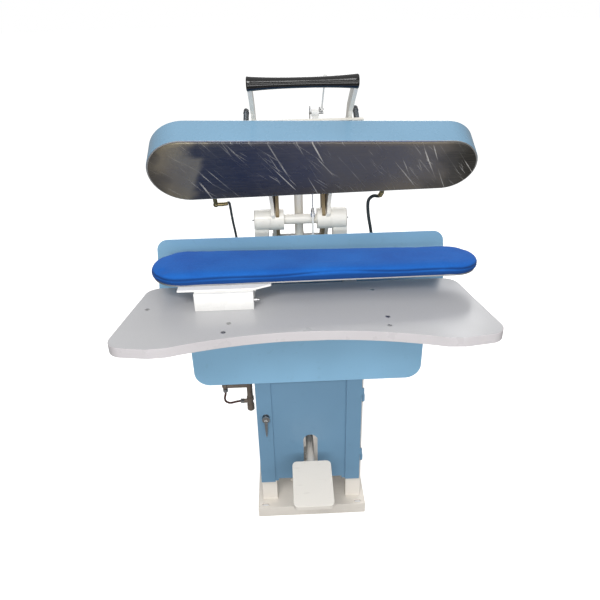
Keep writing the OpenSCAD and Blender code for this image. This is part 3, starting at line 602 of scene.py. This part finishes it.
def smooth_path(points, steps=4):
    """A Catmull-Rom line through points."""
    made = []
    for i in range(len(points) - 1):
        a, b = points[max(i - 1, 0)], points[i]
        c, d = points[i + 1], points[min(i + 2, len(points) - 1)]
        for k in range(steps):
            t = k / steps
            made.append(
                0.5
                * (
                    2 * b
                    + (c - a) * t
                    + (2 * a - 5 * b + 4 * c - d) * t * t
                    + (3 * b - a - 3 * c + d) * t**3
                )
            )
    made.append(points[-1].copy())
    return made


def tube(path, radius, sides):
    """A round tube along a path, with an unturning frame and closed ends."""
    tangents = [
        (path[min(i + 1, len(path) - 1)] - path[max(i - 1, 0)]).normalized()
        for i in range(len(path))
    ]
    side = tangents[0].orthogonal().normalized()
    rings = []
    for point, tangent in zip(path, tangents):
        side = (side - tangent * side.dot(tangent)).normalized()
        other = tangent.cross(side)
        rings.append(
            [
                point
                + radius
                * (
                    math.cos(2 * math.pi * k / sides) * side
                    + math.sin(2 * math.pi * k / sides) * other
                )
                for k in range(sides)
            ]
        )
    return loft(rings)


# ---------- hoses ----------


def vectors(rows):
    return [Vector(row) for row in rows]


def opened(y, z):
    """A point's [y, z] in the head's closed position, turned open."""
    moved = OPEN @ Vector((0, y, z))
    return moved.y, moved.z


LEFT_PORT = opened(-0.006, 1.057)
RIGHT_PORT = opened(-0.040, 1.057)
LEFT_ROUTE = vectors(
    [
        (-0.268, LEFT_PORT[0], LEFT_PORT[1]),
        (-0.258, LEFT_PORT[0], LEFT_PORT[1] + 0.001),
        (-0.248, 0.059, 1.124),
        (-0.245, 0.062, 1.105),
        (-0.243, 0.064, 1.080),
        (-0.240, 0.066, 1.050),
        (-0.236, 0.068, 1.020),
        (-0.232, 0.069, 0.985),
        (-0.229, 0.070, 0.950),
        (-0.228, 0.070, 0.9156),
    ]
)
RIGHT_ROUTE = vectors(
    [
        (0.262, RIGHT_PORT[0], RIGHT_PORT[1]),
        (0.256, RIGHT_PORT[0] + 0.009, RIGHT_PORT[1] - 0.016),
        (0.240, 0.056, 1.132),
        (0.227, 0.062, 1.120),
        (0.223, 0.064, 1.105),
        (0.224, 0.066, 1.080),
        (0.228, 0.067, 1.050),
        (0.234, 0.068, 1.020),
        (0.240, 0.069, 0.985),
        (0.244, 0.070, 0.950),
        (0.245, 0.070, 0.9156),
    ]
)
TRAP_ROUTE = vectors(
    [
        (-0.307, -0.060, 0.430),
        (-0.308, -0.061, 0.420),
        (-0.311, -0.062, 0.408),
        (-0.312, -0.063, 0.396),
        (-0.308, -0.063, 0.386),
        (-0.298, -0.062, 0.379),
        (-0.286, -0.061, 0.378),
        (-0.272, -0.060, 0.381),
        (-0.253, -0.060, 0.384),
    ]
)


def make_hose(name, route, radius, slot, node_name, crosses_pivot):
    """A hose that leaves one fitting and ends in another."""
    path = smooth_path(route)
    mesh = from_bmesh(name, tube(path, radius, 16))
    if crosses_pivot:
        smooth_shading(mesh, 60)
        piece = bpy.data.objects.new(name, mesh)
        scene.collection.objects.link(piece)
        mesh.materials.append(FINISHES[slot])
        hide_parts(node_name)
        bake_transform(piece)
    else:
        piece = as_piece(name, mesh, "frame", slot, [node_name], 60)


make_hose("steam_hose_left", LEFT_ROUTE, 0.0042, "hose_braid", "head_hose_left", True)
make_hose("steam_hose_right", RIGHT_ROUTE, 0.0055, "hose_braid", "head_hose_right", True)
make_hose("trap_hose_line", TRAP_ROUTE, 0.0040, "trap_hose", "trap_hose", False)


def ferrule(name, at, direction, radius, length, body):
    """A crimped, ridged sleeve on a hose's end."""
    profile = [(0, 0), (radius * 0.92, 0), (radius, 0.0008)]
    ridges = 3
    for i in range(ridges):
        z = length * (0.2 + 0.28 * i)
        profile += [(radius, z), (radius * 0.86, z + 0.001), (radius * 0.86, z + 0.0025)]
        profile += [(radius, z + 0.0035)]
    profile += [(radius, length - 0.0008), (radius * 0.9, length), (0, length)]
    turn = Vector((0, 0, 1)).rotation_difference(direction).to_matrix().to_4x4()
    mesh = from_bmesh(name, lathe(profile, 24), Matrix.Translation(at) @ turn)
    as_piece(name, mesh, body, "brass")


for label, route, size in (("left", LEFT_ROUTE, 0.0066), ("right", RIGHT_ROUTE, 0.0080)):
    ferrule(f"ferrule_{label}_head", route[0], (route[1] - route[0]).normalized(), size, 0.018, "head")
    ferrule(f"ferrule_{label}_frame", route[-1], Vector((0, 0, 1)), size, 0.020, "frame")


# ---------- springs ----------


def helix(low, high, wire, turns):
    """The centreline of a spring that fills a box; the wire's radius is wire, and its ends lie flat."""
    centre = (low + high) / 2
    radius = (high.x - low.x) / 2 - wire
    base, rise = low.z + wire, high.z - low.z - 2 * wire
    steps = int(turns * 20)
    flat = 0.8 / turns
    path = []
    for i in range(steps + 1):
        t = i / steps
        turn = 2 * math.pi * turns * t
        lift = min(max((t - flat) / (1 - 2 * flat), 0), 1)
        z = base + rise * (0.06 * t + 0.94 * lift)
        path.append(
            Vector((centre.x + radius * math.cos(turn), centre.y + radius * math.sin(turn), z))
        )
    return path


def make_stud_springs():
    """The springs under the head's dome nuts, joined into one piece."""
    wire, turns = 0.0013, 9.5
    joined = bmesh.new()
    for low, high in solids("stud_springs", OPEN.inverted()):
        part = tube(helix(low, high, wire, turns), wire, 10)
        temporary = bpy.data.meshes.new("turns")
        part.to_mesh(temporary)
        part.free()
        joined.from_mesh(temporary)
        bpy.data.meshes.remove(temporary)
    mesh = from_bmesh("stud_spring_coils", joined, OPEN)
    as_piece("stud_spring_coils", mesh, "head", "spring_steel", ["stud_springs"], 60)


def make_return_spring():
    """The spring under the pedal lever, made at one length on the frame."""
    wire, turns = 0.003, 13
    low, high = (Vector(c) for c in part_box("return_spring"))
    mesh = from_bmesh("return_spring_coils", tube(helix(low, high, wire, turns), wire, 12))
    coils = as_piece(
        "return_spring_coils", mesh, "frame", "cream_paint", ["return_spring"], 60
    )
    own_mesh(coils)


make_stud_springs()
make_return_spring()


# ---------- head ----------

def make_cover():
    """The head's cover: a sheet shell with a rounded upper edge, open below."""
    low, high = 1.026, 1.117
    edge_round, sheet, rim = 0.007, 0.003, 0.0008
    profile = [(sheet, high - sheet - 0.001), (sheet, low + 0.001)]
    profile += [(sheet - rim, low), (rim, low), (0, low + rim)]
    profile += [(0, low + 0.012), (0, high - edge_round - 0.012)]
    profile += [
        (edge_round - u, high - edge_round + v) for u, v in arc(edge_round, 0, 90, 7)
    ]
    profile += [(edge_round + 0.012, high)]
    mesh = from_bmesh("head_cover_shell", egg_loft(HEAD, profile), OPEN)
    as_piece("head_cover_shell", mesh, "head", "head_blue", ["head_cover"])


def make_platen():
    """The ironing plate, set in from the cover's outline, with a rounded lower edge."""
    low, high = 1.020, 1.033
    inset, edge = 0.006, 0.0016
    profile = [(0.020, low)]
    profile += [(inset + edge - u, low + edge + v) for u, v in arc(edge, -90, 0, 4)]
    profile += [(inset, high)]
    mesh = from_bmesh("head_platen_face", egg_loft(HEAD, profile), OPEN)
    as_piece("head_platen_face", mesh, "head", "platen_steel", ["head_platen"])


make_cover()
make_platen()


# ---------- handle ----------

GRIP = Vector((0, -0.436, 1.096))
GRIP_ROUND = 0.004

# The pull rod in the head's closed position: its end behind the grip, and its pin on the valve
ROD_END = Vector((0.063, -0.440, 1.1165))
ROD_PIN = Vector((0.063, -0.27964, 1.18090))


def make_grip():
    """The black bar: waisted, with rounded ends."""
    low, high = (Vector(c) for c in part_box("handle_grip"))
    half = (high.x - low.x) / 2
    rim, waist, steps = 0.020, 0.0145, 40
    straight = half - GRIP_ROUND
    shoulder = rim - GRIP_ROUND
    profile = [(0, -half), (shoulder - 0.002, -half)]
    profile += [(shoulder + u, -straight + v) for u, v in arc(GRIP_ROUND, -90, 0, 5)]
    for i in range(1, steps):
        x = -straight + 2 * straight * i / steps
        profile.append((waist + (rim - waist) * (abs(x) / straight) ** 2.4, x))
    profile += [(shoulder + u, straight + v) for u, v in arc(GRIP_ROUND, 0, 90, 5)]
    profile += [(shoulder - 0.002, half), (0, half)]
    place_grip = OPEN @ Matrix.Translation(GRIP)
    mesh = from_bmesh("grip", lathe(profile, 72), place_grip @ Matrix.Rotation(math.pi / 2, 4, "Y"))
    as_piece("grip", mesh, "head", "grip_black", ["handle_grip"], 40)


def make_rod_eye():
    """The eye behind the grip that guides the pull rod's end."""
    rod = (ROD_PIN - ROD_END).normalized()
    bore, outer, first, last = 0.00245, 0.005, 0.002, 0.010
    ring = lathe([(bore, first), (outer, first), (outer, last), (bore, last), (bore, first)], 32)
    turn = Vector((0, 0, 1)).rotation_difference(rod).to_matrix().to_4x4()
    bmesh.ops.transform(ring, matrix=Matrix.Translation(ROD_END) @ turn, verts=ring.verts)
    as_piece("rod_eye", from_bmesh("rod_eye", ring, OPEN), "head", "grip_black")
    across = Vector((0, rod.z, -rod.y))
    foot = ROD_END + rod * (first + last) / 2
    stem = tube([foot + across * reach for reach in (0.0035, 0.009, 0.014)], 0.0025, 16)
    as_piece("rod_eye_stem", from_bmesh("rod_eye_stem", stem, OPEN), "head", "grip_black")


make_grip()
make_rod_eye()


# ---------- padded buck ----------


def pad_start():
    """The pad before it is filled: an egg-shaped slab with round edges and a crowned top."""
    base, top, inset = 0.9830, 1.0130, 0.005
    low_edge, edge = 0.008, 0.015
    profile = [(0.032, base), (0.020, base)]
    profile += [(inset + low_edge - u, base + low_edge + v) for u, v in arc(low_edge, -90, 0, 4)]
    profile += [(inset + edge - u, top - edge + v) for u, v in arc(edge, 0, 90, 6)]
    profile += [(0.030, top + 0.0008), (0.050, top + 0.0015)]
    return egg_loft(BUCK, profile, 48)


def remeshed(mesh, voxel):
    """A mesh rebuilt from even faces of one size."""
    holder = bpy.data.objects.new("holder", mesh)
    scene.collection.objects.link(holder)
    remesh = holder.modifiers.new("remesh", "REMESH")
    remesh.mode = "VOXEL"
    remesh.voxel_size = voxel
    made = bpy.data.meshes.new_from_object(
        holder.evaluated_get(bpy.context.evaluated_depsgraph_get())
    )
    bpy.data.objects.remove(holder)
    return made


def inflated(mesh, pressure, frames, cap):
    """Swells a mesh by cloth simulation, and keeps each point within cap of where it was."""
    rest = [v.co.copy() for v in mesh.vertices]
    holder = bpy.data.objects.new("cloth", mesh)
    scene.collection.objects.link(holder)
    cloth = holder.modifiers.new("cloth", "CLOTH")
    cloth.settings.use_pressure = True
    cloth.settings.uniform_pressure_force = pressure
    cloth.settings.effector_weights.gravity = 0
    cloth.settings.tension_stiffness = 25
    cloth.settings.compression_stiffness = 25
    cloth.settings.bending_stiffness = 0.4
    cloth.collision_settings.use_collision = False
    cloth.point_cache.frame_start = 1
    cloth.point_cache.frame_end = frames
    for step in range(1, frames + 1):
        scene.frame_set(step)
    made = bpy.data.meshes.new_from_object(
        holder.evaluated_get(bpy.context.evaluated_depsgraph_get())
    )
    bpy.data.objects.remove(holder)
    scene.frame_set(1)
    for vertex, start in zip(made.vertices, rest):
        moved = vertex.co - start
        if moved.length > cap:
            vertex.co = start + moved.normalized() * cap
    return made


def drape(mesh):
    """The cover's folds: a soft break along the front's upper edge, and gathers on the side."""
    normals = [vertex.normal.copy() for vertex in mesh.vertices]
    for vertex, n in zip(mesh.vertices, normals):
        p = vertex.co
        side = min(max(1 - abs(n.z) * 1.5, 0), 1)
        wave = noise.noise(Vector((p.x * 9, p.y * 9, 2.0)))
        gather = noise.noise(Vector((p.x * 26, p.y * 26, p.z * 6 + 5.0)))
        vertex.co += n * side * (0.0016 * wave + 0.0009 * gather)
        if n.y < 0.2 and p.y < -0.22:
            # the break: a shallow groove under the edge, which wanders along the buck
            line = 1.0045 + 0.0035 * math.sin(p.x * 8.0 + 0.8) + 0.002 * math.sin(p.x * 19.0)
            depth = math.exp(-(((p.z - line) / 0.0032) ** 2))
            swell = math.exp(-(((p.z - line - 0.006) / 0.005) ** 2))
            vertex.co += n * (-0.0022 * depth + 0.0010 * swell)


def make_pad():
    """The filled and covered buck pad, made in place of the pad and its felt underpad."""
    mesh = remeshed(from_bmesh("pad_start", pad_start()), voxel=0.005)
    mesh = inflated(mesh, pressure=4.0, frames=20, cap=0.0040)
    holder = bpy.data.objects.new("pad_holder", mesh)
    scene.collection.objects.link(holder)
    relax = holder.modifiers.new("relax", "SMOOTH")
    relax.factor = 0.5
    relax.iterations = 4
    finer = holder.modifiers.new("finer", "SUBSURF")
    finer.levels = 1
    mesh = bpy.data.meshes.new_from_object(
        holder.evaluated_get(bpy.context.evaluated_depsgraph_get())
    )
    bpy.data.objects.remove(holder)
    drape(mesh)
    mesh.materials.clear()
    piece = as_piece(
        "buck_padding", mesh, "frame", "buck_cover", ["buck_pad", "buck_underpad"], 180
    )


make_pad()


# ---------- the rest of the CAD pieces, with softened edges ----------

SOFT_EDGES = {
    "base_frame": 0.003,
    "front_posts": 0.0014,
    "main_columns": 0.003,
    "cabinet_panels": 0.0006,
    "bearing_housings": 0.002,
    "table_frame": 0.0012,
    "table_board": 0.0009,
    "table_edge_band": 0.0008,
    "apron": 0.0009,
    "rear_shield": 0.0007,
    "panel_brackets": 0.0008,
    "buck_neck": 0.002,
    "buck_flange": 0.0015,
    "buck_chest": 0.001,
    "pedal_brackets": 0.0012,
    "hinge_leaves": 0.0004,
    "head_chest": 0.001,
    "dome_nuts": 0.0006,
    "yoke_crossbars": 0.0015,
    "tail_levers": 0.0012,
    "valve_body": 0.001,
    "pedal_lever": 0.0015,
    "pedal_pan": 0.0035,
    "door_panel": 0.0008,
    "door_lock": 0.0004,
    "lock_key": 0.0005,
    "key_tag": 0.0004,
    "link_strip": 0.0006,
    "push_rod": 0.001,
    "tail_pin": 0.001,
    "pivot_shaft": 0.001,
    "valve_wing": 0.0004,
}
for name, width in SOFT_EDGES.items():
    softened(name, width, segments=3 if width > 0.0025 else 2)

# nodes that stay as they are only get their finish
for name, cad in frame["nodes"].items():
    if cad.hide_render:
        continue
    for slot in cad.material_slots:
        slot.link = "OBJECT"
        slot.material = FINISHES[SLOT_OF[name]]


# ---------- floor, world and lights ----------


def make_floor():
    """A white floor that lights neither the press nor its reflections."""
    made = bmesh.new()
    bmesh.ops.create_circle(made, cap_ends=True, radius=60, segments=96)
    floor = bpy.data.objects.new("floor", from_bmesh("floor", made))
    scene.collection.objects.link(floor)
    material, tree, bsdf = shader("floor", {"Specular IOR Level": 0.2})
    where = place(tree)
    tone = mix(tree, noise_at(tree, where, 0.6, 2), srgb("F3F3F2"), srgb("F6F6F5"))
    tree.links.new(tone, bsdf.inputs["Base Color"])
    bsdf.inputs["Roughness"].default_value = 0.85
    bsdf.inputs["Emission Color"].default_value = (1, 1, 1, 1)
    bsdf.inputs["Emission Strength"].default_value = 0.5
    floor.data.materials.append(material)
    floor.visible_diffuse = False
    floor.visible_glossy = False


def make_world():
    """Soft white light, strongest from above and weaker from the sides; plain white to the camera."""
    world = bpy.data.worlds.new("studio")
    scene.world = world
    world.use_nodes = True
    tree = world.node_tree
    background = tree.nodes["Background"]
    seen = node(tree, "Background", {"Color": (1, 1, 1, 1), "Strength": 1.0})
    direction = node(tree, "TexCoord").outputs["Generated"]
    axes = node(tree, "SeparateXYZ", links={"Vector": direction})
    sideways = math_node(tree, "ABSOLUTE", axes.outputs["X"])
    level = remap(tree, sideways, 0.35, 0.95, 1.0, 0.45)
    background.inputs["Color"].default_value = (1, 1, 1, 1)
    rising = remap(tree, axes.outputs["Z"], -0.3, 0.9, 0.30, 0.86)
    strength = math_node(tree, "MULTIPLY", level, rising)
    tree.links.new(strength, background.inputs["Strength"])
    to_camera = node(tree, "LightPath").outputs["Is Camera Ray"]
    both = node(
        tree,
        "MixShader",
        links={0: to_camera, 1: background.outputs[0], 2: seen.outputs[0]},
    )
    tree.links.new(both.outputs[0], tree.nodes["World Output"].inputs["Surface"])


def area_light(name, at, target, size, power):
    data = bpy.data.lights.new(name, "AREA")
    data.shape = "RECTANGLE"
    data.size, data.size_y = size
    data.energy = power
    lamp = bpy.data.objects.new(name, data)
    scene.collection.objects.link(lamp)
    lamp.visible_camera = False
    lamp.location = at
    lamp.rotation_euler = (Vector(target) - Vector(at)).to_track_quat("-Z", "Y").to_euler()


scene.view_settings.view_transform = "Standard"
make_floor()
make_world()
area_light("key", (-0.7, -2.6, 3.4), (0, 0, 0.8), (1.6, 1.2), 54)
area_light("strip", (0.0, -3.0, 1.75), (0, 0, 1.0), (2.4, 0.30), 10)
area_light("low", (0.0, -2.3, 0.62), (0, 0, 0.62), (1.8, 0.4), 12)
area_light("fill", (1.8, -2.6, 1.4), (0, 0, 0.8), (1.8, 1.8), 12)
area_light("back", (0.6, 2.8, 2.6), (0, 0, 1.0), (2.2, 1.2), 34)
